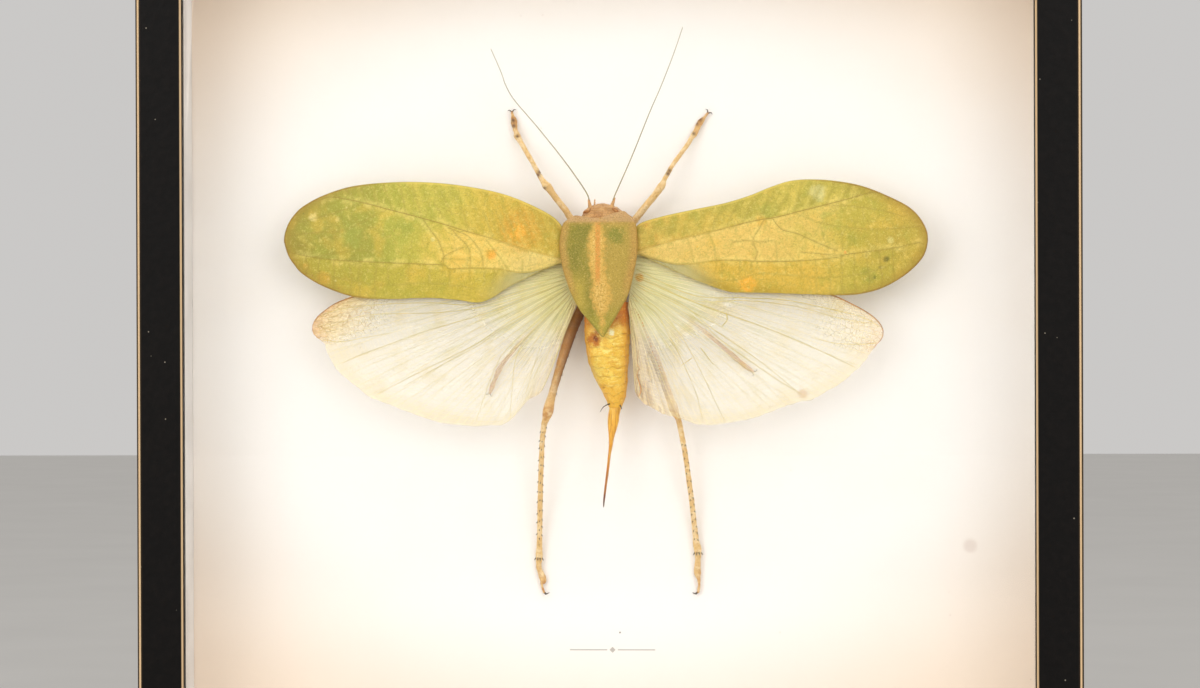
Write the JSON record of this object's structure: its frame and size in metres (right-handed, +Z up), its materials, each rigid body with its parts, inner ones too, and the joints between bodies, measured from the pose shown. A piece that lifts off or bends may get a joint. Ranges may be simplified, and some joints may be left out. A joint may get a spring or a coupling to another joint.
{
  "type": "framed insect specimen",
  "caption": "Spread giant leaf katydid mounted on a pale board inside a square, deep, black box frame with a glass front.",
  "frame": {"origin": "under the middle of the bottom rail, on the surface the box stands on", "axes": "+X to the right across the box as seen from the front, +Y from the glass to the back, +Z up"},
  "size_m": [0.366, 0.05, 0.366],
  "materials": {
    "frame_paint": "satin black paint on wood",
    "clear_glass": "clear, flat",
    "spacer_card": "pale grey-white card",
    "white_board": "warm white matt board",
    "hardboard": "brown pressed hardboard",
    "plated_steel": "zinc plated",
    "foam": "fine white foam",
    "head_shell": "dry wrinkled chitin",
    "antenna_shell": "dry chitin thread",
    "shield_shell": "matt granular green chitin",
    "thorax_shell": "dry chitin",
    "abdomen_shell": "waxy amber chitin",
    "ovipositor_shell": "glossy orange-brown chitin",
    "forewing_leaf": "leathery veined green wing",
    "hindwing_membrane": "translucent cream wing membrane",
    "leg_shell": "dry speckled tan chitin"
  },
  "bodies": {
    "root": {"rail_bottom": "frame_paint", "rail_top": "frame_paint", "rail_left": "frame_paint", "rail_right": "frame_paint", "glass_pane": "clear_glass", "spacer_bottom": "spacer_card", "spacer_top": "spacer_card", "spacer_left": "spacer_card", "spacer_right": "spacer_card", "mount_board": "white_board", "back_panel": "hardboard", "back_tab_1": "plated_steel", "back_tab_2": "plated_steel", "back_tab_3": "plated_steel", "back_tab_4": "plated_steel", "back_tab_5": "plated_steel", "back_tab_6": "plated_steel", "back_tab_7": "plated_steel", "back_tab_8": "plated_steel", "hanger": "plated_steel", "mounting_pad": "foam", "head": "head_shell", "antenna_left": "antenna_shell", "antenna_right": "antenna_shell", "pronotum": "shield_shell", "thorax": "thorax_shell", "abdomen": "abdomen_shell", "ovipositor": "ovipositor_shell", "forewing_left": "forewing_leaf", "forewing_right": "forewing_leaf", "hindwing_left": "hindwing_membrane", "hindwing_right": "hindwing_membrane", "front_leg_left": "leg_shell", "front_leg_right": "leg_shell", "middle_leg_left": "leg_shell", "middle_leg_right": "leg_shell", "hind_leg_left": "leg_shell", "hind_leg_right": "leg_shell"}
  },
  "joints": []
}
